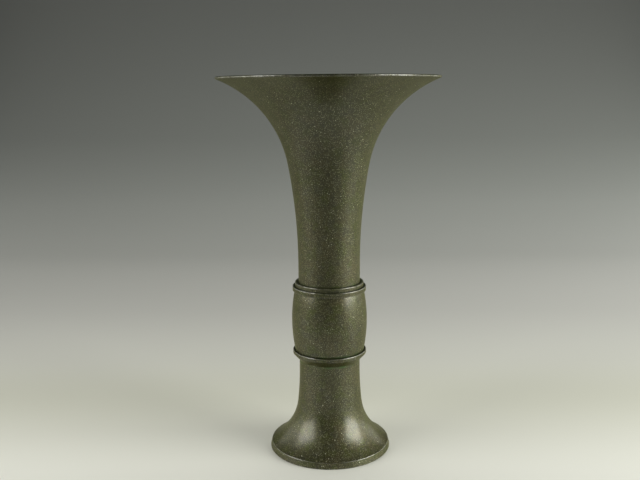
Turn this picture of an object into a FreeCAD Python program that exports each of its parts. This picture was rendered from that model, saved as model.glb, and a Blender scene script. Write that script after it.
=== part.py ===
import FreeCAD, Part
import math
import os
import re
import Sketcher

# Bronze flower vase of gu form: a trumpet neck over a barrel shaped drum on a flared foot.
# Four turned castings and a base disc are lapped together at the mouldings and soft soldered,
# and every seam lies in the corner of a moulding, where it can't be seen from outside.
# Millimetres, +Z up, with the origin at the centre of the resting face.

SIZES = [
    ("height", 300, "foot to lip"),
    ("mouth_radius", 86.3, "outermost point of the lip"),
    ("lip_round", 0.92, "rounded edge of the mouth"),
    ("lip_drop", 1.7, "height of that edge"),
    ("lip_inset", 1.12, "upper end of the rounding, inward of the outermost point"),
    ("lip_tuck", 0.47, "lower end of the rounding, inward of the outermost point"),
    ("neck_radius", 24.65, "straight part of the neck, outside"),
    ("neck_wall", 2.8, "neck wall"),
    ("flare_start", 154.8, "height where the neck begins to open"),
    ("waist_arc", 422, "slow curve above the straight neck"),
    ("flare_arc", 87, "quick curve out to the lip"),
    ("wall_taper", 2, "inner flare curve over the outer one, which thins the lip"),
    ("high_ledge", 138.9, "top of the smaller collar ring"),
    ("high_ring_radius", 27.5, "smaller collar ring"),
    ("low_ledge", 135.7, "top of the larger collar ring"),
    ("low_ring_radius", 29.5, "larger collar ring"),
    ("drum_top", 131.9, "seam under the collar"),
    ("drum_bottom", 82.7, "seam on the ledge of the foot"),
    ("drum_end_radius", 27.9, "drum at both ends"),
    ("belly_arc", 127, "bulge of the drum, outside"),
    ("drum_wall", 2.8, "drum wall"),
    ("flange_depth", 5, "inward flange at the top of the drum"),
    ("neck_seat", 137.4, "shoulder of the neck inside the collar"),
    ("spigot_wall", 1.4, "turned down end of the neck"),
    ("spigot_end", 124.4, "lower end of the neck spigot"),
    ("solder_gap", 0.15, "soldered gap in each lap joint"),
    ("foot_ring_radius", 29.7, "ring under the drum"),
    ("foot_ring_face", 2.7, "upright face of that ring"),
    ("stem_top", 74.4, "where the underside of the ring meets the stem"),
    ("stem_radius", 24.57, "stem of the foot, outside"),
    ("stem_wall", 2.8, "wall of the stem and the flared foot"),
    ("stem_bottom", 66.9, "height where the stem begins to open"),
    ("foot_waist_arc", 250, "slow curve below the stem"),
    ("foot_flare_arc", 44.2, "quick curve out to the foot band"),
    ("band_height", 5, "upright band round the foot"),
    ("band_radius", 48.1, "upper edge of the band"),
    ("foot_radius", 49.3, "lower edge of the band"),
    ("tenon_radius", 24.85, "foot tenon inside the drum"),
    ("tenon_top", 88.7, "upper end of the tenon"),
    ("socket_top", 87.2, "end of the bore in the drum that takes the tenon"),
    ("plate_radius", 44.85, "base disc"),
    ("plate_top", 4.6, "step in the foot that the base disc meets"),
    ("plate_thickness", 2, "base disc"),
    ("plate_step", 43.6, "inside of the foot at that step"),
    ("arris", 0.5, "rounding of the collar and foot ring edges"),
    ("soft_arris", 0.35, "rounding of the foot band edges"),
    ("cove", 3, "hollow under the foot ring"),
    ("neck_bead", 1.6, "solder fillet under the drum flange"),
    ("foot_bead", 0.8, "solder fillet on top of the drum socket"),
    ("base_bead", 0.9, "solder fillet round the base disc"),
    ("dish_radius", 38, "shallow dish turned into the base disc"),
    ("dish_depth", 0.5, "depth of the dish"),
]

ALIASES = {alias for alias, size, meaning in SIZES}
FULL_TURN = 360
CLOSE = 1e-3  # how near a found edge must be to the stated place

doc = FreeCAD.newDocument("BronzeVase")
sheet = doc.addObject("Spreadsheet::Sheet", "Sizes")
for row, (alias, size, meaning) in enumerate(SIZES, start=1):
    sheet.set(f"A{row}", alias)
    sheet.set(f"B{row}", str(size))
    sheet.set(f"C{row}", meaning)
    sheet.setAlias(f"B{row}", alias)
doc.recompute()


def on_sheet(text):
    """The same formula with every size read from the sheet."""

    def cell(word):
        return f"Sizes.{word.group()}" if word.group() in ALIASES else word.group()

    return re.sub(r"[a-z_]+", cell, text)


def value(text):
    """What a formula of sizes comes to now."""
    return float(sheet.evalExpression(on_sheet(text)))


def two_arcs(plumb, slow, quick, far):
    """Centres and joint of two smooth arcs that run from a plumb wall out to a far point."""
    slow_centre = plumb + FreeCAD.Vector(slow, 0, 0)
    reach = far - slow_centre
    across = FreeCAD.Vector(-reach.y, reach.x, 0).normalize()
    along = ((slow - quick) ** 2 - quick**2 + reach.Length**2) / (2 * reach.Length)
    aside = math.sqrt((slow - quick) ** 2 - along**2)
    foot = slow_centre + FreeCAD.Vector(reach).normalize() * along

    def joint(centre):
        return slow_centre + (centre - slow_centre).normalize() * slow

    quick_centre = min(
        (foot + across * aside, foot - across * aside),
        key=lambda centre: (joint(centre) - plumb).Length,
    )
    return slow_centre, quick_centre, joint(quick_centre)


class Outline:
    """A closed half section on the body's XZ plane, drawn corner by corner and tied to the sheet.

    Corners are written as radius and height of the whole vase; the body's own zero is its seat.
    """

    def __init__(self, body, seat, radius, height):
        self.seat = seat
        self.sketch = body.newObject("Sketcher::SketchObject", body.Label + "_section")
        plane = next(p for p in body.Origin.OriginFeatures if p.Role == "XZ_Plane")
        self.sketch.AttachmentSupport = [(plane, "")]
        self.sketch.MapMode = "FlatFace"
        self.corners = [(radius, height)]
        self.ends = []
        self.at = self.point(radius, height)

    def rise(self, height):
        """A height above the body's seat."""
        return f"({height}) - ({self.seat})"

    def point(self, radius, height):
        return FreeCAD.Vector(value(radius), value(self.rise(height)), 0)

    def bind(self, kind, *where, text):
        """A driving dimension that reads the sheet."""
        number = self.sketch.addConstraint(Sketcher.Constraint(kind, *where, value(text)))
        name = f"{kind}_{number}"
        self.sketch.renameConstraint(number, name)
        self.sketch.setExpression(f"Constraints.{name}", on_sheet(text))

    def join(self, geometry, first, last, smooth):
        """Ties a new piece to the one before it, and remembers its two ends."""
        if self.ends:
            kind = "Tangent" if smooth else "Coincident"
            self.sketch.addConstraint(
                Sketcher.Constraint(kind, *self.ends[-1][1], geometry, first)
            )
        self.ends.append(((geometry, first), (geometry, last)))

    def place(self, geometry, end, corner, before):
        """Fixes a corner by the sizes that differ from the corner before it."""
        radius, height = corner
        line = isinstance(self.sketch.Geometry[geometry], Part.LineSegment)
        if line and radius == before[0]:
            self.sketch.addConstraint(Sketcher.Constraint("Vertical", geometry))
        elif abs(value(radius)) < CLOSE:
            self.sketch.addConstraint(Sketcher.Constraint("PointOnObject", geometry, end, -2))
        else:
            self.bind("DistanceX", -1, 1, geometry, end, text=radius)
        if line and height == before[1]:
            self.sketch.addConstraint(Sketcher.Constraint("Horizontal", geometry))
        elif height == self.seat:
            self.sketch.addConstraint(Sketcher.Constraint("PointOnObject", geometry, end, -1))
        else:
            self.bind("DistanceY", -1, 1, geometry, end, text=self.rise(height))

    def line(self, radius, height, smooth=False):
        """A straight run to a corner."""
        to = self.point(radius, height)
        geometry = self.sketch.addGeometry(Part.LineSegment(self.at, to), False)
        self.join(geometry, 1, 2, smooth)
        self.place(geometry, 2, (radius, height), self.corners[-1])
        self.corners.append((radius, height))
        self.at = to

    def curve(self, centre, to, smooth):
        """An arc round a centre to a point, the short way."""
        start = self.at - centre
        end = to - centre
        turn = start.cross(end).z
        low, high = (start, end) if turn > 0 else (end, start)
        circle = Part.Circle(centre, FreeCAD.Vector(0, 0, 1), start.Length)
        arc = Part.ArcOfCircle(circle, math.atan2(low.y, low.x), math.atan2(high.y, high.x))
        geometry = self.sketch.addGeometry(arc, False)
        first, last = (1, 2) if turn > 0 else (2, 1)
        self.join(geometry, first, last, smooth)
        self.at = to
        return geometry, last

    def arc(self, text, radius, height, outward):
        """An arc of a stated size to a corner, with its centre on the axis side or the outside."""
        to = self.point(radius, height)
        chord = to - self.at
        middle = (to + self.at) * 0.5
        rise = math.sqrt(value(text) ** 2 - (chord.Length / 2) ** 2)
        side = FreeCAD.Vector(-chord.y, chord.x, 0).normalize()
        if (side.x > 0) != outward:
            side = -side
        centre = middle + side * rise
        geometry, last = self.curve(centre, to, smooth=False)
        self.place(geometry, last, (radius, height), self.corners[-1])
        self.bind("Radius", geometry, text=text)
        self.corners.append((radius, height))

    def flare(self, slow, quick, radius, height, opening):
        """Two smooth arcs between a plumb wall and an open edge, drawn towards the given corner."""
        to = self.point(radius, height)
        plumb, far = (self.at, to) if opening else (to, self.at)
        slow_centre, quick_centre, joint = two_arcs(plumb, value(slow), value(quick), far)
        steps = [(slow_centre, joint, slow), (quick_centre, to, quick)]
        if not opening:
            steps = [(quick_centre, joint, quick), (slow_centre, to, slow)]
        for number, (centre, end, text) in enumerate(steps):
            geometry, last = self.curve(centre, end, smooth=opening or number > 0)
            self.bind("Radius", geometry, text=text)
        self.place(geometry, last, (radius, height), self.corners[-1])
        self.corners.append((radius, height))

    def close(self):
        """The last straight run, back to the first corner, which it also fixes."""
        self.line(*self.corners[0])
        self.sketch.addConstraint(
            Sketcher.Constraint("Coincident", *self.ends[-1][1], *self.ends[0][0])
        )
        return self.sketch


def new_body(label, seat):
    """A body with its own frame, which stands at its seat in the vase."""
    body = doc.addObject("PartDesign::Body", label)
    body.Label = label
    body.setExpression("Placement.Base.z", on_sheet(seat))
    return body


def turn(body, outline):
    """The section turned round the upright axis."""
    sketch = outline.close()
    solid = body.newObject("PartDesign::Revolution", body.Label + "_turned")
    solid.Profile = sketch
    solid.ReferenceAxis = (sketch, ["V_Axis"])
    solid.Angle = FULL_TURN
    doc.recompute()
    return solid


def round_edges(body, outline, size, name, corners):
    """Rounds the circular edges that stand at the given corners of the section."""
    base = body.Tip
    doc.recompute()
    found = []
    for radius, height in corners:
        place = outline.point(radius, height)
        for number, edge in enumerate(base.Shape.Edges, start=1):
            curve = edge.Curve
            if not isinstance(curve, Part.Circle) or not edge.isClosed():
                continue
            if abs(curve.Radius - place.x) < CLOSE and abs(curve.Center.z - place.y) < CLOSE:
                found.append(f"Edge{number}")
    if len(found) != len(corners):
        raise ValueError(f"{body.Label}: {len(found)} of {len(corners)} edges found for {name}")
    fillet = body.newObject("PartDesign::Fillet", f"{body.Label}_{name}")
    fillet.Base = (base, found)
    fillet.setExpression("Radius", on_sheet(size))
    doc.recompute()


# The neck: a straight tube that opens in two smooth arcs to a thin lip.
# Its turned down end is a spigot, which passes through the collar into the drum.
def trumpet_neck():
    bore = "neck_radius - neck_wall"
    spigot = "neck_radius - spigot_wall"
    lip_top = ("mouth_radius - lip_inset", "height")
    lip_edge = ("mouth_radius - lip_tuck", "height - lip_drop")
    inner_waist = "waist_arc + neck_wall"
    inner_flare = "flare_arc + wall_taper"
    body = new_body("trumpet_neck", "neck_seat")
    outline = Outline(body, "neck_seat", bore, "spigot_end")
    outline.line(bore, "flare_start")
    outline.flare(inner_waist, inner_flare, *lip_top, opening=True)
    outline.arc("lip_round", *lip_edge, outward=False)
    outline.flare("waist_arc", "flare_arc", "neck_radius", "flare_start", opening=False)
    outline.line("neck_radius", "neck_seat", smooth=True)
    outline.line(spigot, "neck_seat")
    outline.line(spigot, "spigot_end")
    turn(body, outline)
    return body


# The collar: a turned ring in two steps, which rests on the drum and takes the neck in a rebate.
def upper_collar():
    bore = "neck_radius - spigot_wall + solder_gap"
    body = new_body("upper_collar", "drum_top")
    outline = Outline(body, "drum_top", bore, "drum_top")
    outline.line("low_ring_radius", "drum_top")
    outline.line("low_ring_radius", "low_ledge")
    outline.line("high_ring_radius", "low_ledge")
    outline.line("high_ring_radius", "high_ledge")
    outline.line("neck_radius", "high_ledge")
    outline.line("neck_radius", "neck_seat")
    outline.line(bore, "neck_seat")
    turn(body, outline)
    edges = [
        ("low_ring_radius", "drum_top"),
        ("low_ring_radius", "low_ledge"),
        ("high_ring_radius", "high_ledge"),
    ]
    round_edges(body, outline, "arris", "arrises", edges)
    return body


# The drum: a barrel with an inward flange round the neck spigot and a bore over the foot tenon.
def drum():
    flange_bore = "neck_radius - spigot_wall + solder_gap"
    socket = "tenon_radius + solder_gap"
    flange = "drum_top - flange_depth"
    half = "((drum_top - drum_bottom) / 2)"
    centre = f"(drum_end_radius - sqrt(belly_arc^2 - {half}^2))"
    inner = "(belly_arc - drum_wall)"

    def inside(height):
        """Radius of the inner bulge, which has the outer one's centre."""
        return f"{centre} + sqrt({inner}^2 - ({height} - drum_bottom - {half})^2)"

    body = new_body("drum", "drum_bottom")
    outline = Outline(body, "drum_bottom", socket, "drum_bottom")
    outline.line("drum_end_radius", "drum_bottom")
    outline.arc("belly_arc", "drum_end_radius", "drum_top", outward=False)
    outline.line(flange_bore, "drum_top")
    outline.line(flange_bore, flange)
    outline.line(inside(flange), flange)
    outline.arc("belly_arc - drum_wall", inside("socket_top"), "socket_top", outward=False)
    outline.line(socket, "socket_top")
    turn(body, outline)
    return body


# The foot: ring, stem, flare and band in one casting, with a tenon up into the drum
# and a rebate under the flare for the base disc.
def foot():
    bore = "stem_radius - stem_wall"
    ring_edge = "drum_bottom - foot_ring_face"
    rebate = "plate_radius + solder_gap"
    body = new_body("foot", "0")
    outline = Outline(body, "0", bore, "tenon_top")
    outline.line("tenon_radius", "tenon_top")
    outline.line("tenon_radius", "drum_bottom")
    outline.line("foot_ring_radius", "drum_bottom")
    outline.line("foot_ring_radius", ring_edge)
    outline.line("stem_radius", "stem_top")
    outline.line("stem_radius", "stem_bottom")
    outline.flare("foot_waist_arc", "foot_flare_arc", "band_radius", "band_height", opening=True)
    outline.line("foot_radius", "0")
    outline.line(rebate, "0")
    outline.line(rebate, "plate_top")
    outline.line("plate_step", "plate_top")
    outline.flare(
        "foot_waist_arc + stem_wall",
        "foot_flare_arc + stem_wall",
        bore,
        "stem_bottom",
        opening=False,
    )
    turn(body, outline)
    ring = [("foot_ring_radius", "drum_bottom"), ("foot_ring_radius", ring_edge)]
    band = [("band_radius", "band_height"), ("foot_radius", "0"), (rebate, "0")]
    round_edges(body, outline, "arris", "ring_arrises", ring)
    round_edges(body, outline, "cove", "cove", [("stem_radius", "stem_top")])
    round_edges(body, outline, "soft_arris", "band_arrises", band)
    return body


# The base disc: it closes the vessel, a little above the surface that the foot stands on.
def base_plate():
    below = "plate_top - plate_thickness"
    body = new_body("base_plate", below)
    outline = Outline(body, below, "0", below)
    outline.line("plate_radius", below)
    outline.line("plate_radius", "plate_top")
    outline.line("dish_radius", "plate_top")
    outline.line("dish_radius - dish_depth", "plate_top - dish_depth")
    outline.line("0", "plate_top - dish_depth")
    turn(body, outline)
    return body


# Solder of a lap joint: a thin sleeve that fills the gap between the two castings,
# and a fillet where it comes out on the inside.
def solder(label, wall, other_wall, step, far_end, size, climbs, spreads):
    body = new_body(label, step)
    outline = Outline(body, step, wall, f"{step} {climbs} {size}")
    outline.line(f"{wall} {spreads} {size}", step)
    outline.line(other_wall, step)
    outline.line(other_wall, far_end)
    outline.line(wall, far_end)
    turn(body, outline)
    return body


def upper_solder():
    spigot = "neck_radius - spigot_wall"
    bore = "neck_radius - spigot_wall + solder_gap"
    flange = "drum_top - flange_depth"
    return solder("upper_solder", spigot, bore, flange, "neck_seat", "neck_bead", "-", "+")


def lower_solder():
    socket = "tenon_radius + solder_gap"
    end = "drum_bottom"
    return solder("lower_solder", "tenon_radius", socket, "socket_top", end, "foot_bead", "+", "+")


def base_solder():
    rebate = "plate_radius + solder_gap"
    below = "plate_top - plate_thickness"
    return solder("base_solder", rebate, "plate_radius", below, "plate_top", "base_bead", "-", "-")


def main():
    castings = [trumpet_neck(), upper_collar(), drum(), foot(), base_plate()]
    bodies = castings + [upper_solder(), lower_solder(), base_solder()]
    doc.recompute()
    for thing in doc.Objects:
        if {"Invalid", "Error"} & set(thing.State):
            raise ValueError(f"{thing.Label} failed: {thing.State}")
    os.makedirs("parts", exist_ok=True)
    for body in bodies:
        shape = body.Shape
        if shape.isNull() or not shape.isValid() or len(shape.Solids) != 1:
            raise ValueError(f"{body.Label} is not one valid solid")
        shape.exportStep(f"parts/{body.Label}.step")
        box = shape.optimalBoundingBox()
        print(f"{body.Label}: {shape.Volume:.0f} mm3, z {box.ZMin:.2f} to {box.ZMax:.2f}")


main()
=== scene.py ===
import math
from collections import namedtuple

import bpy
from mathutils import Matrix, Vector, noise


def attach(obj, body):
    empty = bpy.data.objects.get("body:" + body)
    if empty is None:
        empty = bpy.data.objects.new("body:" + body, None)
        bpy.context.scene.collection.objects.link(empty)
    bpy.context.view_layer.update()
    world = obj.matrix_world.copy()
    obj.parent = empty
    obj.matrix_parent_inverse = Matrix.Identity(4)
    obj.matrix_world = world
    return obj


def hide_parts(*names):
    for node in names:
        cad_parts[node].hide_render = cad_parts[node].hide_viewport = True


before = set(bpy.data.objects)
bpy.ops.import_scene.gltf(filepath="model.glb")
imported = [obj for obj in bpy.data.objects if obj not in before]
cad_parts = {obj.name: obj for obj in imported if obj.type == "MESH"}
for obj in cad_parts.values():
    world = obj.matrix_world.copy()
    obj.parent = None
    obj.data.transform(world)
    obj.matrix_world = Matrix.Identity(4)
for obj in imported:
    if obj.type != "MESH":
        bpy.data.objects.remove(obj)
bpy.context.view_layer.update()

# Bronze gu-form vase. Every piece is turned here again from its named sizes, finer than the CAD and
# with rounded arrises. Its patina, its grime and painted shade, and its wear follow the corners of
# its own outline.

MM = 0.001

# Outline of the vase in millimetres
HEIGHT = 300.0
MOUTH_RADIUS = 86.3
LIP_ROUND = 0.92  # radius of the rounded lip
LIP_DROP = 1.7  # the rounded lip ends this far below the top
LIP_INSET = 1.12  # and starts this far in from the mouth's widest place
LIP_TUCK = 0.47  # and ends this far in from it
LIP_CREST = math.radians(40)  # up from level, where the lip's dull top, darkened with a painted dark reflection, turns into its worn edge
NECK_RADIUS = 24.65
NECK_WALL = 2.8
FLARE_START = 154.8
WAIST_ARC = 422.0
FLARE_ARC = 87.0
WALL_TAPER = 2.0  # the inner flare arc is this much larger, which thins the wall towards the lip
HIGH_LEDGE = 138.9
HIGH_RING_RADIUS = 27.5
LOW_LEDGE = 135.7
LOW_RING_RADIUS = 29.5
DRUM_TOP = 131.9
DRUM_BOTTOM = 82.7
DRUM_END_RADIUS = 27.9
BELLY_ARC = 127.0
DRUM_WALL = 2.8
FLANGE_DEPTH = 5.0
NECK_SEAT = 137.4
SPIGOT_WALL = 1.4
SPIGOT_END = 124.4
SOLDER_GAP = 0.15
FOOT_RING_RADIUS = 29.7
FOOT_RING_FACE = 2.7
STEM_TOP = 74.4
STEM_RADIUS = 24.57
STEM_WALL = 2.8
STEM_BOTTOM = 66.9
FOOT_WAIST_ARC = 250.0
FOOT_FLARE_ARC = 44.2
BAND_HEIGHT = 5.0
BAND_RADIUS = 48.1
FOOT_RADIUS = 49.3
TENON_RADIUS = 24.85
TENON_TOP = 88.7
SOCKET_TOP = 87.2
PLATE_RADIUS = 44.85
PLATE_TOP = 4.6
PLATE_THICKNESS = 2.0
PLATE_STEP = 43.6
DISH_RADIUS = 38.0
DISH_DEPTH = 0.5

# Roundings and fillets in millimetres
ARRIS = 0.5
SOFT_ARRIS = 0.35
COVE = 3.0  # below the foot ring, where its slope runs into the stem
NECK_BEAD = 1.6
FOOT_BEAD = 0.8
BASE_BEAD = 0.9
SOLDER_HOLLOW = 0.36  # 0.5 is a straight fillet
NECK_WOBBLE = 0.03  # how far the wall of the neck waves in and out
WOBBLE_SCALE = 34.0  # and over what distance

# Wear of outer corners, and grime with painted shade in inner ones, from 0 to 1
# painted dark reflection: the lip's top is darkened all round, and takes some verdigris
LIP_DIRT_AND_DARK_REFLECTION = 0.6
LIP_CREST_WEAR = 0.3
LIP_WEAR = 0.6
HIGH_RING_WEAR = 0.9
LOW_RING_WEAR = 1.0
LOW_RING_UNDER_WEAR = 0.35
# painted shade with dirt: the ledges darken from their inner corners outwards
LEDGE_DIRT_AND_SHADE = 1.0
# painted shadow: the drum's top is darkened under the collar's overhang
DRUM_TOP_DIRT_AND_SHADE = 0.7
FOOT_RING_WEAR = 1.0
FOOT_RING_UNDER_WEAR = 0.3
COVE_GRIME = 0.35
BAND_WEAR = 1.0
FOOT_EDGE_WEAR = 0.6
REBATE_EDGE_WEAR = 0.5
WEAR_REACH = 0.3  # how far wear spreads from an outer corner, millimetres
LEDGE_REACH = 3.0  # how far grime and painted shade spread from an inner corner along a ledge, millimetres
WALL_REACH = 0.35  # and up an upright wall

# Fineness of the turned meshes
SEGMENTS = 224
STEP = 1.4  # longest run along an outline, millimetres
ROUND_STEPS = 6
ARC_STEPS = 10
ON_AXIS = 1e-6  # a smaller radius is a single point on the axis
SHARP_ANGLE = math.radians(38)

Spot = namedtuple("Spot", "radius height rounding wear grime")


class Outline:
    """A closed half section as spots, some of them corners with a rounding, wear, or grime with
    painted shade.
    """

    def __init__(self):
        self.spots = []

    def corner(self, radius, height, rounding=0.0, wear=0.0, grime=0.0):
        self.spots.append(Spot(radius, height, rounding, wear, grime))

    def arc(self, centre, start, end, wear=0.0, grime=0.0):
        """Spots between two points of an arc, both left out, the short way round."""
        radius = math.dist(centre, start)
        first = math.atan2(start[1] - centre[1], start[0] - centre[0])
        last = math.atan2(end[1] - centre[1], end[0] - centre[0])
        turn = (last - first + math.pi) % (2 * math.pi) - math.pi
        steps = max(ARC_STEPS, math.ceil(abs(turn) * radius / STEP))
        for step in range(1, steps):
            angle = first + turn * step / steps
            place = (centre[0] + radius * math.cos(angle), centre[1] + radius * math.sin(angle))
            self.corner(*place, wear=wear, grime=grime)

    def flare(self, slow, quick, plumb, far, opening=True):
        """Spots of the two smooth arcs between a plumb wall and an open edge, ends left out."""
        slow_centre, quick_centre, joint = two_arcs(plumb, slow, quick, far)
        if opening:
            self.arc(slow_centre, plumb, joint)
            self.corner(*joint)
            self.arc(quick_centre, joint, far)
        else:
            self.arc(quick_centre, far, joint)
            self.corner(*joint)
            self.arc(slow_centre, joint, plumb)


def two_arcs(plumb, slow, quick, far):
    """Centres and joint of two smooth arcs that run from a plumb wall out to a far point."""
    slow_centre = Vector((plumb[0] + slow, plumb[1]))
    reach = Vector(far) - slow_centre
    along = ((slow - quick) ** 2 - quick**2 + reach.length_squared) / (2 * reach.length)
    aside = math.sqrt((slow - quick) ** 2 - along**2)
    across = Vector((-reach.y, reach.x)).normalized() * aside
    foot = slow_centre + reach.normalized() * along

    def joint(centre):
        return slow_centre + (centre - slow_centre).normalized() * slow

    centre = min(
        (foot + across, foot - across), key=lambda c: (joint(c) - Vector(plumb)).length
    )
    return tuple(slow_centre), tuple(centre), tuple(joint(centre))


def nose_centre(start, end, radius):
    """Centre of the arc of a stated size between two points, on the axis side."""
    chord = Vector(end) - Vector(start)
    aside = Vector((chord.y, -chord.x)).normalized() * math.sqrt(radius**2 - (chord.length / 2) ** 2)
    return tuple((Vector(start) + Vector(end)) / 2 + aside)


def rounded(before, corner, after):
    """Spots of the arc that rounds a corner between its two neighbours."""
    here = Vector(corner[:2])
    one = (Vector(before[:2]) - here).normalized()
    two = (Vector(after[:2]) - here).normalized()
    radius = corner.rounding
    half = one.angle(two) / 2
    reach = radius / math.tan(half)
    centre = here + (one + two).normalized() * (radius / math.sin(half))
    start = here + one * reach - centre
    end = here + two * reach - centre
    first = math.atan2(start.y, start.x)
    turn = (math.atan2(end.y, end.x) - first + math.pi) % (2 * math.pi) - math.pi
    for step in range(ROUND_STEPS + 1):
        angle = first + turn * step / ROUND_STEPS
        place = (centre.x + radius * math.cos(angle), centre.y + radius * math.sin(angle))
        yield Spot(*place, 0.0, corner.wear, corner.grime)


def fade(distance, reach):
    """One at a corner, falling to nought where its wear, or its grime with painted shade, ends."""
    return max(0.0, 1.0 - distance / reach)


def marks_near(spot, length, grime_and_shade_reach):
    """Distances from a corner at which its run is cut, so that wear, and grime with painted shade,
    fade evenly.
    """
    marks = [WEAR_REACH / 2, WEAR_REACH] if spot.wear or spot.grime else []
    if spot.grime:
        marks.append(min(grime_and_shade_reach, length / 2))
    return marks


def between(one, two):
    """Spots along the straight run from one spot to the next, both left out."""
    length = math.dist(one[:2], two[:2])
    if length < 2 * WEAR_REACH or (one.radius == 0 and two.radius == 0):
        return []
    flat = abs(two.radius - one.radius) > abs(two.height - one.height)
    grime_and_shade_reach = LEDGE_REACH if flat else WALL_REACH
    marks = marks_near(one, length, grime_and_shade_reach)
    tail = marks_near(two, length, grime_and_shade_reach)
    low = max(marks, default=0.0)
    high = length - max(tail, default=0.0)
    steps = max(1, math.ceil((high - low) / STEP))
    marks += [low + (high - low) * n / steps for n in range(1, steps)]
    marks += [length - reach for reach in tail]
    spots = []
    for mark in sorted(set(marks)):
        share = mark / length
        rest = length - mark
        radius = one.radius + (two.radius - one.radius) * share
        height = one.height + (two.height - one.height) * share
        wear = one.wear * fade(mark, WEAR_REACH) + two.wear * fade(rest, WEAR_REACH)
        grime = one.grime * fade(mark, grime_and_shade_reach) + two.grime * fade(rest, grime_and_shade_reach)
        spots.append(Spot(radius, height, 0.0, min(wear, 1.0), min(grime, 1.0)))
    return spots


def section(outline):
    """The outline's spots with the corners rounded and the long runs divided."""
    corners = outline.spots
    cut = []
    for index, spot in enumerate(corners):
        if spot.rounding:
            cut += rounded(corners[index - 1], spot, corners[(index + 1) % len(corners)])
        else:
            cut.append(spot)
    spots = []
    for index, spot in enumerate(cut):
        spots.append(spot)
        spots += between(spot, cut[(index + 1) % len(cut)])
    return spots


def turned(name, node, outline, material, wobble=0.0):
    """A piece turned from its section, in place of its CAD node."""
    verts, wear, grime, rings = [], [], [], []
    for spot in section(outline):
        single = spot.radius < ON_AXIS
        count = 1 if single else SEGMENTS
        first = len(verts)
        rings.append([first] * SEGMENTS if single else list(range(first, first + SEGMENTS)))
        for turn in range(count):
            angle = 2 * math.pi * turn / SEGMENTS
            outward = Vector((math.cos(angle), math.sin(angle), 0))
            point = outward * spot.radius + Vector((0, 0, spot.height))
            point += outward * (noise.noise(point / WOBBLE_SCALE) * wobble)
            verts.append(tuple(point * MM))
        wear += [spot.wear] * count
        grime += [spot.grime] * count
    faces = []
    for index, ring in enumerate(rings):
        after = rings[(index + 1) % len(rings)]
        if ring[0] == ring[1] and after[0] == after[1]:
            continue  # both are single points, and the run between them is the axis
        for turn in range(SEGMENTS):
            side = (turn + 1) % SEGMENTS
            loop = (ring[turn], ring[side], after[side], after[turn])
            faces.append(tuple(dict.fromkeys(loop)))
    mesh = bpy.data.meshes.new(name)
    mesh.from_pydata(verts, [], faces)
    for label, values in (("wear", wear), ("grime", grime)):
        attribute = mesh.attributes.new(label, "FLOAT", "POINT")
        attribute.data.foreach_set("value", values)
    mesh.shade_smooth()
    mesh.set_sharp_from_angle(angle=SHARP_ANGLE)
    mesh.materials.append(material)
    mesh.update()
    piece = bpy.data.objects.new(name, mesh)
    bpy.context.scene.collection.objects.link(piece)
    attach(piece, "root")
    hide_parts(node)


# Outlines of the pieces

def trumpet_outline():
    bore = NECK_RADIUS - NECK_WALL
    spigot = NECK_RADIUS - SPIGOT_WALL
    lip_top = (MOUTH_RADIUS - LIP_INSET, HEIGHT)
    lip_edge = (MOUTH_RADIUS - LIP_TUCK, HEIGHT - LIP_DROP)
    inner_start = (bore, FLARE_START)
    outer_start = (NECK_RADIUS, FLARE_START)
    nose = nose_centre(lip_top, lip_edge, LIP_ROUND)
    crest = (
        nose[0] + LIP_ROUND * math.cos(LIP_CREST),
        nose[1] + LIP_ROUND * math.sin(LIP_CREST),
    )
    outline = Outline()
    outline.corner(bore, SPIGOT_END)
    outline.corner(*inner_start)
    outline.flare(WAIST_ARC + NECK_WALL, FLARE_ARC + WALL_TAPER, inner_start, lip_top)
    # painted dark reflection: the lip's top is darkened from here to its crest
    outline.corner(*lip_top, grime=LIP_DIRT_AND_DARK_REFLECTION)
    outline.arc(nose, lip_top, crest, grime=LIP_DIRT_AND_DARK_REFLECTION)
    outline.corner(*crest, wear=LIP_CREST_WEAR)
    outline.arc(nose, crest, lip_edge, wear=LIP_WEAR)
    outline.corner(*lip_edge)
    outline.flare(WAIST_ARC, FLARE_ARC, outer_start, lip_edge, opening=False)
    outline.corner(*outer_start)
    outline.corner(NECK_RADIUS, HIGH_LEDGE, grime=LEDGE_DIRT_AND_SHADE)
    outline.corner(NECK_RADIUS, NECK_SEAT)
    outline.corner(spigot, NECK_SEAT)
    outline.corner(spigot, SPIGOT_END)
    return outline


def collar_outline():
    bore = NECK_RADIUS - SPIGOT_WALL + SOLDER_GAP
    outline = Outline()
    outline.corner(bore, DRUM_TOP)
    outline.corner(LOW_RING_RADIUS, DRUM_TOP, rounding=ARRIS, wear=LOW_RING_UNDER_WEAR)
    outline.corner(LOW_RING_RADIUS, LOW_LEDGE, rounding=ARRIS, wear=LOW_RING_WEAR)
    outline.corner(HIGH_RING_RADIUS, LOW_LEDGE, grime=LEDGE_DIRT_AND_SHADE)
    outline.corner(HIGH_RING_RADIUS, HIGH_LEDGE, rounding=ARRIS, wear=HIGH_RING_WEAR)
    outline.corner(NECK_RADIUS, HIGH_LEDGE, grime=LEDGE_DIRT_AND_SHADE)
    outline.corner(NECK_RADIUS, NECK_SEAT)
    outline.corner(bore, NECK_SEAT)
    return outline


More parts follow.
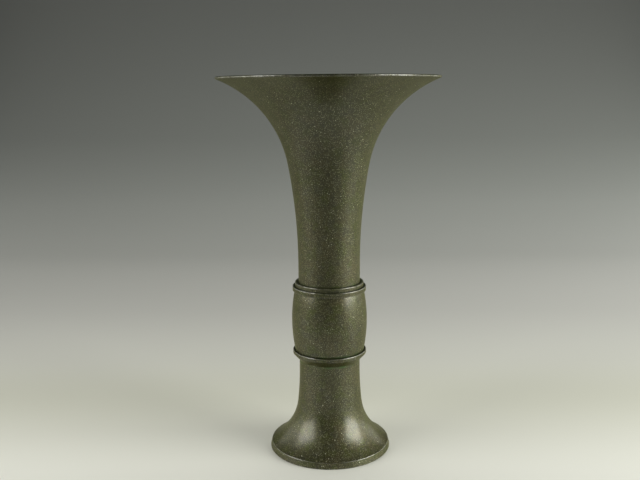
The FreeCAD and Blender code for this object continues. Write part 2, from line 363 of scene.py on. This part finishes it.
def drum_outline():
    middle = (DRUM_TOP + DRUM_BOTTOM) / 2
    half = DRUM_TOP - middle
    centre = (DRUM_END_RADIUS - math.sqrt(BELLY_ARC**2 - half**2), middle)
    inner_arc = BELLY_ARC - DRUM_WALL
    flange = DRUM_TOP - FLANGE_DEPTH
    flange_bore = NECK_RADIUS - SPIGOT_WALL + SOLDER_GAP
    socket = TENON_RADIUS + SOLDER_GAP

    def inner(height):
        return centre[0] + math.sqrt(inner_arc**2 - (height - middle) ** 2), height

    outline = Outline()
    outline.corner(socket, DRUM_BOTTOM)
    outline.corner(DRUM_END_RADIUS, DRUM_BOTTOM, grime=LEDGE_DIRT_AND_SHADE)
    outline.arc(centre, (DRUM_END_RADIUS, DRUM_BOTTOM), (DRUM_END_RADIUS, DRUM_TOP))
    # painted shadow under the collar's overhang
    outline.corner(DRUM_END_RADIUS, DRUM_TOP, grime=DRUM_TOP_DIRT_AND_SHADE)
    outline.corner(flange_bore, DRUM_TOP)
    outline.corner(flange_bore, flange)
    outline.corner(*inner(flange))
    outline.arc(centre, inner(flange), inner(SOCKET_TOP))
    outline.corner(*inner(SOCKET_TOP))
    outline.corner(socket, SOCKET_TOP)
    return outline


def foot_outline():
    bore = STEM_RADIUS - STEM_WALL
    ring_edge = DRUM_BOTTOM - FOOT_RING_FACE
    rebate = PLATE_RADIUS + SOLDER_GAP
    band = (BAND_RADIUS, BAND_HEIGHT)
    step = (PLATE_STEP, PLATE_TOP)
    inner_start = (bore, STEM_BOTTOM)
    outer_start = (STEM_RADIUS, STEM_BOTTOM)
    inner_arcs = (FOOT_WAIST_ARC + STEM_WALL, FOOT_FLARE_ARC + STEM_WALL)
    outline = Outline()
    outline.corner(bore, TENON_TOP)
    outline.corner(TENON_RADIUS, TENON_TOP)
    outline.corner(TENON_RADIUS, DRUM_BOTTOM)
    outline.corner(DRUM_END_RADIUS, DRUM_BOTTOM, grime=LEDGE_DIRT_AND_SHADE)
    outline.corner(FOOT_RING_RADIUS, DRUM_BOTTOM, rounding=ARRIS, wear=FOOT_RING_WEAR)
    outline.corner(FOOT_RING_RADIUS, ring_edge, rounding=ARRIS, wear=FOOT_RING_UNDER_WEAR)
    outline.corner(STEM_RADIUS, STEM_TOP, rounding=COVE, grime=COVE_GRIME)
    outline.corner(*outer_start)
    outline.flare(FOOT_WAIST_ARC, FOOT_FLARE_ARC, outer_start, band)
    outline.corner(*band, rounding=SOFT_ARRIS, wear=BAND_WEAR)
    outline.corner(FOOT_RADIUS, 0, rounding=SOFT_ARRIS, wear=FOOT_EDGE_WEAR)
    outline.corner(rebate, 0, rounding=SOFT_ARRIS, wear=REBATE_EDGE_WEAR)
    outline.corner(rebate, PLATE_TOP)
    outline.corner(*step)
    outline.flare(*inner_arcs, inner_start, step, opening=False)
    outline.corner(*inner_start)
    return outline


def plate_outline():
    below = PLATE_TOP - PLATE_THICKNESS
    outline = Outline()
    outline.corner(0, below)
    outline.corner(PLATE_RADIUS, below)
    outline.corner(PLATE_RADIUS, PLATE_TOP)
    outline.corner(DISH_RADIUS, PLATE_TOP)
    outline.corner(DISH_RADIUS - DISH_DEPTH, PLATE_TOP - DISH_DEPTH)
    outline.corner(0, PLATE_TOP - DISH_DEPTH)
    return outline


def solder_outline(wall, other_wall, step, far_end, size, climb, spread):
    """A sleeve between two walls with a slightly hollow fillet; climb and spread are 1 or -1."""
    outline = Outline()
    start = (wall, step + climb * size)
    end = (wall + spread * size, step)
    hollow = (wall + spread * size * SOLDER_HOLLOW, step + climb * size * SOLDER_HOLLOW)
    outline.corner(*start)
    outline.corner(*hollow, rounding=size)
    outline.corner(*end)
    outline.corner(other_wall, step)
    outline.corner(other_wall, far_end)
    outline.corner(wall, far_end)
    return outline


# Nodes

# The Mix node has sockets of the same names for numbers and for colours: A, B and Result
MIX_SOCKETS = {"FLOAT": (2, 3, 0), "RGBA": (6, 7, 2)}
NOISE_ROUGHNESS = 0.55


class Graph:
    """A short way to lay out nodes."""

    def __init__(self, tree):
        self.tree = tree

    def node(self, kind, **settings):
        node = self.tree.nodes.new(kind)
        for key, setting in settings.items():
            setattr(node, key, setting)
        return node

    def link(self, source, target):
        self.tree.links.new(source, target)

    def put(self, target, source):
        """Sets a socket from a number, a colour or another socket."""
        if isinstance(source, bpy.types.NodeSocket):
            self.link(source, target)
        else:
            target.default_value = source

    def math(self, operation, one, two=0.0, third=0.0):
        node = self.node("ShaderNodeMath", operation=operation)
        for index, source in enumerate((one, two, third)):
            self.put(node.inputs[index], source)
        return node.outputs[0]

    def times(self, one, two):
        return self.math("MULTIPLY", one, two)

    def larger(self, one, two):
        return self.math("MAXIMUM", one, two)

    def smaller(self, one, two):
        return self.math("MINIMUM", one, two)

    def ramp(self, source, low, high, out_low=0.0, out_high=1.0, kind="SMOOTHSTEP"):
        """A number that goes from out_low to out_high while the source goes from low to high."""
        node = self.node("ShaderNodeMapRange", interpolation_type=kind)
        self.put(node.inputs["Value"], source)
        node.inputs["From Min"].default_value = low
        node.inputs["From Max"].default_value = high
        node.inputs["To Min"].default_value = out_low
        node.inputs["To Max"].default_value = out_high
        return node.outputs["Result"]

    def mixed(self, kind, share, one, two):
        first, second, result = MIX_SOCKETS[kind]
        node = self.node("ShaderNodeMix", data_type=kind)
        self.put(node.inputs[0], share)
        self.put(node.inputs[first], one)
        self.put(node.inputs[second], two)
        return node.outputs[result]

    def mix(self, share, one, two):
        """From colour one to colour two."""
        return self.mixed("RGBA", share, one, two)

    def blend(self, share, one, two):
        """From number one to number two."""
        return self.mixed("FLOAT", share, one, two)

    def seen(self):
        """One where the ray comes from the camera or from something shiny or clear, else nought."""
        path = self.node("ShaderNodeLightPath").outputs
        total = self.larger(path["Is Camera Ray"], path["Is Glossy Ray"])
        return self.larger(total, path["Is Transmission Ray"])


class Surface(Graph):
    """The nodes of a new material with one Principled shader, placed by Object coordinates."""

    def __init__(self, name):
        self.material = bpy.data.materials.new(name)
        self.material.use_nodes = True
        super().__init__(self.material.node_tree)
        self.tree.nodes.clear()
        self.shader = self.node("ShaderNodeBsdfPrincipled")
        self.output = self.node("ShaderNodeOutputMaterial")
        self.link(self.shader.outputs["BSDF"], self.output.inputs["Surface"])
        self.place = self.node("ShaderNodeTexCoord").outputs["Object"]

    def shade(self, settings):
        """Sets the shader's sockets by name."""
        for name, source in settings.items():
            self.put(self.shader.inputs[name], source)

    def axes(self):
        node = self.node("ShaderNodeSeparateXYZ")
        self.link(self.place, node.inputs["Vector"])
        return node.outputs

    def attribute(self, name):
        return self.node("ShaderNodeAttribute", attribute_name=name).outputs["Fac"]

    def shifted(self, offset):
        """The place moved, for a second pattern that doesn't follow the first."""
        node = self.node("ShaderNodeVectorMath", operation="ADD")
        self.link(self.place, node.inputs[0])
        node.inputs[1].default_value = (offset, offset, offset)
        return node.outputs[0]

    def noise(self, scale, detail, offset=0.0):
        node = self.node("ShaderNodeTexNoise")
        self.link(self.shifted(offset) if offset else self.place, node.inputs["Vector"])
        node.inputs["Scale"].default_value = scale
        node.inputs["Detail"].default_value = detail
        node.inputs["Roughness"].default_value = NOISE_ROUGHNESS
        return node.outputs["Fac"]

    def patches(self, scale, start, full, detail=2.0, offset=0.0, least=0.0, most=1.0):
        """Soft patches, from the least where the noise is below start to the most above full."""
        return self.ramp(self.noise(scale, detail, offset), start, full, least, most)

    def cells(self, scale, channel):
        """Distance from the nearest cell's centre, and a random number for each cell."""
        node = self.node("ShaderNodeTexVoronoi")
        self.link(self.place, node.inputs["Vector"])
        node.inputs["Scale"].default_value = scale
        parts = self.node("ShaderNodeSeparateColor")
        self.link(node.outputs["Color"], parts.inputs["Color"])
        return node.outputs["Distance"], parts.outputs[channel]

    def bump(self, height, strength, distance):
        node = self.node("ShaderNodeBump")
        node.inputs["Strength"].default_value = strength
        node.inputs["Distance"].default_value = distance
        self.link(height, node.inputs["Height"])
        self.link(node.outputs["Normal"], self.shader.inputs["Normal"])


# Patina: its colours
OLIVE = (0.0875, 0.0875, 0.0325, 1)
BROWN = (0.0985, 0.0875, 0.0365, 1)
MOSS = (0.0795, 0.0945, 0.0175, 1)
SLATE = (0.0795, 0.0805, 0.045, 1)
# painted shade: the colour that the flare is darkened towards at the lip
MOUTH_SHADE_COLOUR = (0.017, 0.017, 0.0, 1)
PIT = (0.030, 0.030, 0.016, 1)
GRAIN = (0.275, 0.272, 0.16, 1)
FLECK = (0.80, 0.80, 0.58, 1)
VERDIGRIS = (0.052, 0.108, 0.024, 1)
DIRT_AND_SHADE = (0.016, 0.018, 0.008, 1)
METAL_TINT = (0.92, 0.92, 0.58, 1)

# Patina: how much of each there is
MOSS_SHARE = 0.8
SLATE_SHARE = 0.7
MOUTH_SHADE = 0.52  # painted shade: how far the patina is darkened towards the mouth's shade colour at the lip
CREEP = 2.6  # how far verdigris has crept up from a ledge, millimetres
GREEN_GRIME = (0.0, 0.2)  # verdigris starts and is full at this much grime and shade
DARK_DIRT_AND_SHADE = (0.35, 0.7)  # and dark dirt with painted shade at this much

# Patina: small pale grains with a dark pit round them, and fewer, larger flecks. A scale is cells per
# metre, and an edge or a rim is a distance from a cell's centre. A choice is the range of a cell's
# random number over which its grain or fleck comes in.
GRAIN_SCALE = 1080.0
GRAIN_EDGE = (0.4, 0.2)
GRAIN_CHOICE = (-0.2, 0.9)
RIM_INSIDE = (0.3, 0.5)
RIM_OUTSIDE = (1.0, 0.6)
RIM = 0.78  # how dark the pit is
FLECK_SCALE = 560.0
FLECK_EDGE = (0.19, 0.11)
FLECK_CHOICE = (0.80, 0.98)

# Patina: its surface
METAL = 0.80  # how much of the metal shows through
WAX = 0.22  # weight of the thin gloss where nothing is worn
POLISH_IOR = 2.6
POLISH_ROUGHNESS = 0.28
DIRT_AND_SHADE_ROUGHNESS = 0.8
RELIEF_SCALE = 900.0
RELIEF_SHARE = 0.6
RELIEF_STRENGTH = 0.12
RELIEF_DEPTH = 0.00008  # metres


def patina():
    """Olive brown patina with fine pale specks, darker towards the mouth with painted shade, dark in
    the corners with dirt and painted shade, and polished on the arrises.
    """
    g = Surface("patinated_bronze")
    height = g.axes()["Z"]
    base = g.mix(g.patches(scale=38.0, start=0.36, full=0.66), OLIVE, BROWN)
    moss = g.patches(scale=110.0, start=0.45, full=0.65, offset=0.7)
    base = g.mix(g.times(moss, MOSS_SHARE), base, MOSS)
    slate = g.patches(scale=150.0, start=0.5, full=0.66, offset=1.9)
    base = g.mix(g.times(slate, SLATE_SHARE), base, SLATE)
    # painted shade: darker up the flare towards the lip
    base = g.mix(g.ramp(height, FLARE_START * MM, HEIGHT * MM, 0.0, MOUTH_SHADE), base, MOUTH_SHADE_COLOUR)

    distance, choice = g.cells(GRAIN_SCALE, "Red")
    amount = g.ramp(choice, *GRAIN_CHOICE)
    rim = g.times(g.ramp(distance, *RIM_INSIDE), g.ramp(distance, *RIM_OUTSIDE))
    pits = g.times(rim, g.times(amount, RIM))
    base = g.mix(pits, base, PIT)
    grain = g.times(g.ramp(distance, *GRAIN_EDGE), amount)
    base = g.mix(grain, base, GRAIN)

    distance, choice = g.cells(FLECK_SCALE, "Green")
    flecks = g.times(g.ramp(distance, *FLECK_EDGE), g.ramp(choice, *FLECK_CHOICE))
    base = g.mix(flecks, base, FLECK)

    grime = g.attribute("grime")
    green = g.ramp(grime, *GREEN_GRIME)
    for ledge in (DRUM_BOTTOM, HIGH_LEDGE):
        above = g.math("GREATER_THAN", height, ledge * MM)
        creep = g.ramp(height, ledge * MM, (ledge + CREEP) * MM, 1.0, 0.0)
        green = g.larger(green, g.times(above, creep))
    green = g.times(green, g.patches(scale=60.0, start=0.45, full=0.62, least=0.1, most=0.8))
    base = g.mix(green, base, VERDIGRIS)
    # painted shade with dirt: dark and rough in the inner corners and on the lip's top
    dirt_and_shade = g.ramp(grime, *DARK_DIRT_AND_SHADE)
    base = g.mix(dirt_and_shade, base, DIRT_AND_SHADE)

    mineral = g.larger(g.larger(grain, flecks), dirt_and_shade)
    rough = g.patches(scale=90.0, detail=3.0, start=0.3, full=0.7, least=0.44, most=0.52)
    rubbed = g.patches(scale=260.0, detail=3.0, start=0.35, full=0.6, least=0.25)
    polish = g.times(g.attribute("wear"), rubbed)
    g.shade({
        "Base Color": base,
        "Metallic": g.blend(mineral, METAL, 0.0),
        "Roughness": g.blend(dirt_and_shade, rough, DIRT_AND_SHADE_ROUGHNESS),
        "Specular IOR Level": 0.0,
        "Specular Tint": METAL_TINT,
        "Coat Weight": g.blend(polish, WAX, 1.0),
        "Coat IOR": POLISH_IOR,
        "Coat Roughness": POLISH_ROUGHNESS,
    })
    relief = g.times(g.noise(RELIEF_SCALE, detail=2.0), RELIEF_SHARE)
    g.bump(g.math("SUBTRACT", relief, pits), RELIEF_STRENGTH, RELIEF_DEPTH)
    return g.material


# Base disc
DISC_BRIGHT = (0.14, 0.105, 0.055, 1)
DISC_STAIN = (0.055, 0.05, 0.03, 1)
DISC_CUT = (0.24, 0.19, 0.105, 1)
DISC_CUT_SHARE = 0.26
DISC_METAL = 0.75
LATHE_SCALE = 130.0
LATHE_DISTORTION = 0.4
LATHE_DETAIL = 3.0
LATHE_STRENGTH = 0.25
LATHE_DEPTH = 0.0001  # metres


def base_bronze():
    """Dull turned bronze of the disc, with the marks of the lathe in rings."""
    g = Surface("turned_base_bronze")
    wave = g.node("ShaderNodeTexWave", wave_type="RINGS", rings_direction="Z")
    g.link(g.place, wave.inputs["Vector"])
    wave.inputs["Scale"].default_value = LATHE_SCALE
    wave.inputs["Distortion"].default_value = LATHE_DISTORTION
    wave.inputs["Detail Scale"].default_value = LATHE_DETAIL
    rings = wave.outputs["Fac"]
    stain = g.patches(scale=60.0, detail=4.0, start=0.35, full=0.7)
    base = g.mix(stain, DISC_BRIGHT, DISC_STAIN)
    g.shade({
        "Base Color": g.mix(g.times(rings, DISC_CUT_SHARE), base, DISC_CUT),
        "Metallic": DISC_METAL,
        "Roughness": g.ramp(stain, low=0.0, high=1.0, out_low=0.42, out_high=0.62),
    })
    g.bump(rings, LATHE_STRENGTH, LATHE_DEPTH)
    return g.material


# Solder
TIN_BRIGHT = (0.3, 0.29, 0.26, 1)
TIN_DULL = (0.17, 0.165, 0.14, 1)
TIN_METAL = 0.8
LUMP_SCALE = 500.0
LUMP_STRENGTH = 0.4
LUMP_DEPTH = 0.0002  # metres


def solder_metal():
    """Dull grey tin, a little lumpy."""
    g = Surface("soft_solder")
    cloud = g.patches(scale=350.0, detail=3.0, start=0.3, full=0.7)
    g.shade({
        "Base Color": g.mix(cloud, TIN_BRIGHT, TIN_DULL),
        "Metallic": TIN_METAL,
        "Roughness": g.ramp(cloud, low=0.0, high=1.0, out_low=0.45, out_high=0.6),
    })
    g.bump(g.noise(LUMP_SCALE, detail=2.0), LUMP_STRENGTH, LUMP_DEPTH)
    return g.material


# Stage in metres: a sheet of paper that lies flat, bends up and stands behind the vase
SWEEP_FRONT = -3.0
SWEEP_BEND_START = 0.75
SWEEP_BEND_RADIUS = 0.5
SWEEP_BEND_STEPS = 24
SWEEP_TOP = 2.0
SWEEP_HALF_WIDTH = 3.0

# Colour of the paper by its distance behind the vase along the sheet, with painted shade: darker in a
# band just behind the vase, up the backdrop and far towards the camera
TONES = (
    (-0.6, (0.17, 0.175, 0.17, 1)),
    (-0.3, (0.33, 0.335, 0.30, 1)),
    (-0.1, (0.76, 0.765, 0.695, 1)),
    (0.0, (0.71, 0.715, 0.635, 1)),
    (0.1, (0.50, 0.505, 0.415, 1)),
    (0.2, (0.555, 0.56, 0.505, 1)),
    (0.4, (0.41, 0.41, 0.38, 1)),
    (0.7, (0.40, 0.405, 0.375, 1)),
    (1.0, (0.257, 0.268, 0.248, 1)),
    (1.2, (0.169, 0.179, 0.164, 1)),
    (1.6, (0.098, 0.101, 0.095, 1)),
)
LEAN = 0.42  # painted light: the paper is this much paler for each metre to the right and back
LEAN_REACH = 0.5  # how far back that grows
LEAN_END = 1.7  # and where it ends
PAPER_ROUGHNESS = 0.9
PAPER_GLOSS = 0.1

# Where the paper gives way to the dim studio round it
SURROUND = (0.07, 0.072, 0.07, 1)
FILL = (0.03, 0.03, 0.03, 1)  # the little light that the studio gives
BLACK = (0.0, 0.0, 0.0, 1)
SHEET_EDGE = (0.8, 1.7)  # to each side
SHEET_FRONT = (-0.7, -1.7)  # towards the camera
UNDER_LAMPS = (0.4, 1.0)  # to each side under the lamps, so that the paper doesn't burn out
UNDER_LAMPS_END = (0.7, 0.2)  # and from here forward
UNDER_LAMPS_SHADE = 0.75  # how far it gives way there


def sweep():
    """Floor and backdrop in one sheet, pale in front and grey behind."""
    line = [(SWEEP_FRONT, 0.0), (SWEEP_BEND_START, 0.0)]
    for step in range(1, SWEEP_BEND_STEPS + 1):
        angle = math.pi / 2 * step / SWEEP_BEND_STEPS
        back = SWEEP_BEND_START + SWEEP_BEND_RADIUS * math.sin(angle)
        line.append((back, SWEEP_BEND_RADIUS * (1 - math.cos(angle))))
    line.append((line[-1][0], SWEEP_TOP))
    verts = [(x, y, z) for y, z in line for x in (-SWEEP_HALF_WIDTH, SWEEP_HALF_WIDTH)]
    faces = [(2 * n, 2 * n + 1, 2 * n + 3, 2 * n + 2) for n in range(len(line) - 1)]
    runs = [SWEEP_FRONT]
    for before, after in zip(line, line[1:]):
        runs.append(runs[-1] + math.dist(before, after))
    mesh = bpy.data.meshes.new("sweep")
    mesh.from_pydata(verts, [], faces)
    attribute = mesh.attributes.new("run", "FLOAT", "POINT")
    attribute.data.foreach_set("value", [run for run in runs for side in range(2)])
    mesh.shade_smooth()
    mesh.materials.append(paper())
    sheet = bpy.data.objects.new("sweep", mesh)
    bpy.context.scene.collection.objects.link(sheet)


def paper():
    """Matt paper, pale in front and grey up the backdrop, its tones with painted shade and light; it
    can't be seen from below.
    """
    g = Surface("paper")
    across = g.axes()["X"]
    run = g.attribute("run")

    # painted shade and light: the paper's tones along the sheet
    first, last = TONES[0][0], TONES[-1][0]
    tone = g.node("ShaderNodeValToRGB")
    g.link(g.ramp(run, first, last, kind="LINEAR"), tone.inputs["Fac"])
    tone.color_ramp.interpolation = "B_SPLINE"
    stops = tone.color_ramp.elements
    ready = len(stops)
    for index, (place, colour) in enumerate(TONES):
        share = (place - first) / (last - first)
        stop = stops[index] if index < ready else stops.new(share)
        stop.position = share
        stop.color = colour
    # painted light: paler to the right behind the vase
    back = g.smaller(g.larger(run, 0.0), LEAN_REACH)
    back = g.smaller(back, g.math("SUBTRACT", LEAN_END, run))
    lean = g.math("MULTIPLY_ADD", g.times(across, back), LEAN, 1.0)
    leaning = g.node("ShaderNodeVectorMath", operation="SCALE")
    g.link(tone.outputs["Color"], leaning.inputs[0])
    g.link(lean, leaning.inputs["Scale"])

    sideways = g.math("ABSOLUTE", across)
    under = g.times(g.ramp(sideways, *UNDER_LAMPS), g.ramp(run, *UNDER_LAMPS_END))
    aside = g.larger(g.ramp(sideways, *SHEET_EDGE), g.times(under, UNDER_LAMPS_SHADE))
    away = g.larger(aside, g.ramp(run, *SHEET_FRONT))
    g.shade({
        "Base Color": g.mix(away, leaning.outputs[0], BLACK),
        "Emission Strength": g.times(away, g.seen()),
        "Emission Color": SURROUND,
        "Roughness": PAPER_ROUGHNESS,
        "Specular IOR Level": PAPER_GLOSS,
    })
    clear = g.node("ShaderNodeBsdfTransparent")
    choose = g.node("ShaderNodeMixShader")
    g.link(g.node("ShaderNodeNewGeometry").outputs["Backfacing"], choose.inputs[0])
    g.link(g.shader.outputs["BSDF"], choose.inputs[1])
    g.link(clear.outputs["BSDF"], choose.inputs[2])
    g.link(choose.outputs[0], g.output.inputs["Surface"])
    return g.material


# Lamps: azimuth from the camera to the right and elevation in degrees, width and height in metres,
# watts, colour, and whether shiny things mirror the lamp
LEFT_COLOUR = (1.0, 0.99, 0.97)
RIGHT_COLOUR = (1.0, 1.0, 0.975)
BACK_COLOUR = (1.0, 1.0, 0.98)
LAMPS = {
    "left_box": (-72, 21, 1.0, 0.82, 11.3, LEFT_COLOUR, True),
    "right_box": (72, 17.5, 0.95, 0.85, 19.0, RIGHT_COLOUR, True),
    "left_wing": (-118, 9, 0.9, 0.6, 2.0, LEFT_COLOUR, True),
    "right_wing": (120, 8, 0.9, 0.55, 3.0, RIGHT_COLOUR, True),
    "back_box": (180, 60, 1.2, 1.0, 8.0, BACK_COLOUR, False),
}
LAMP_DISTANCE = 1.3
LAMP_AIM = 0.15  # height of the place that all lamps point at


def softbox(name, azimuth, elevation, width, height, power, colour, mirrored):
    """A soft rectangular lamp aimed at the vase."""
    turn = math.radians(azimuth)
    rise = math.radians(elevation)
    away = Vector(
        (math.sin(turn) * math.cos(rise), -math.cos(turn) * math.cos(rise), math.sin(rise))
    )
    data = bpy.data.lights.new(name, "AREA")
    data.shape = "RECTANGLE"
    data.size = width
    data.size_y = height
    data.energy = power
    data.color = colour
    lamp = bpy.data.objects.new(name, data)
    lamp.location = away * LAMP_DISTANCE + Vector((0, 0, LAMP_AIM))
    lamp.rotation_mode = "QUATERNION"
    lamp.rotation_quaternion = away.to_track_quat("Z", "Y")
    lamp.visible_camera = False
    lamp.visible_glossy = mirrored
    bpy.context.scene.collection.objects.link(lamp)


def lights():
    for name, settings in LAMPS.items():
        softbox(name, *settings)
    world = bpy.data.worlds.new("studio")
    bpy.context.scene.world = world
    world.use_nodes = True
    g = Graph(world.node_tree)
    g.link(g.mix(g.seen(), FILL, SURROUND), g.tree.nodes["Background"].inputs["Color"])


# Camera, from the rim, ledge and foot ellipses of the photograph; in metres
CAMERA_BACK = 0.6116
CAMERA_UP = 0.2885
CAMERA_PITCH = math.radians(10.75)
CAMERA_YAW = math.radians(-0.67)
CAMERA_ROLL = math.radians(-0.45)
CAMERA_NEAR = 0.01
FOCAL_PIXELS = 781.3
FRAME_PIXELS = 640
SENSOR = 36.0  # millimetres


def camera():
    data = bpy.data.cameras.new("camera")
    data.sensor_width = SENSOR
    data.lens = FOCAL_PIXELS / FRAME_PIXELS * SENSOR
    data.clip_start = CAMERA_NEAR
    ahead = Vector(
        (
            math.sin(CAMERA_YAW) * math.cos(CAMERA_PITCH),
            math.cos(CAMERA_YAW) * math.cos(CAMERA_PITCH),
            -math.sin(CAMERA_PITCH),
        )
    )
    right = Vector((math.cos(CAMERA_YAW), -math.sin(CAMERA_YAW), 0))
    up = right.cross(ahead)
    rolled_right = right * math.cos(CAMERA_ROLL) + up * math.sin(CAMERA_ROLL)
    rolled_up = up * math.cos(CAMERA_ROLL) - right * math.sin(CAMERA_ROLL)
    rotation = Matrix((rolled_right, rolled_up, -ahead)).transposed().to_4x4()
    view = bpy.data.objects.new("camera", data)
    view.matrix_world = Matrix.Translation((0, -CAMERA_BACK, CAMERA_UP)) @ rotation
    bpy.context.scene.collection.objects.link(view)
    bpy.context.scene.camera = view


def vase():
    bronze = patina()
    disc = base_bronze()
    tin = solder_metal()
    turned("trumpet_neck_turned", "trumpet_neck", trumpet_outline(), bronze, NECK_WOBBLE)
    turned("upper_collar_turned", "upper_collar", collar_outline(), bronze)
    turned("drum_turned", "drum", drum_outline(), bronze)
    turned("foot_turned", "foot", foot_outline(), bronze)
    turned("base_disc", "base_plate", plate_outline(), disc)
    upper = solder_outline(
        wall=NECK_RADIUS - SPIGOT_WALL,
        other_wall=NECK_RADIUS - SPIGOT_WALL + SOLDER_GAP,
        step=DRUM_TOP - FLANGE_DEPTH,
        far_end=NECK_SEAT,
        size=NECK_BEAD,
        climb=-1,
        spread=1,
    )
    lower = solder_outline(
        wall=TENON_RADIUS,
        other_wall=TENON_RADIUS + SOLDER_GAP,
        step=SOCKET_TOP,
        far_end=DRUM_BOTTOM,
        size=FOOT_BEAD,
        climb=1,
        spread=1,
    )
    base = solder_outline(
        wall=PLATE_RADIUS + SOLDER_GAP,
        other_wall=PLATE_RADIUS,
        step=PLATE_TOP - PLATE_THICKNESS,
        far_end=PLATE_TOP,
        size=BASE_BEAD,
        climb=-1,
        spread=-1,
    )
    turned("upper_solder_seam", "upper_solder", upper, tin)
    turned("lower_solder_seam", "lower_solder", lower, tin)
    turned("base_solder_seam", "base_solder", base, tin)


vase()
sweep()
lights()
camera()
bpy.context.scene.view_settings.view_transform = "Standard"
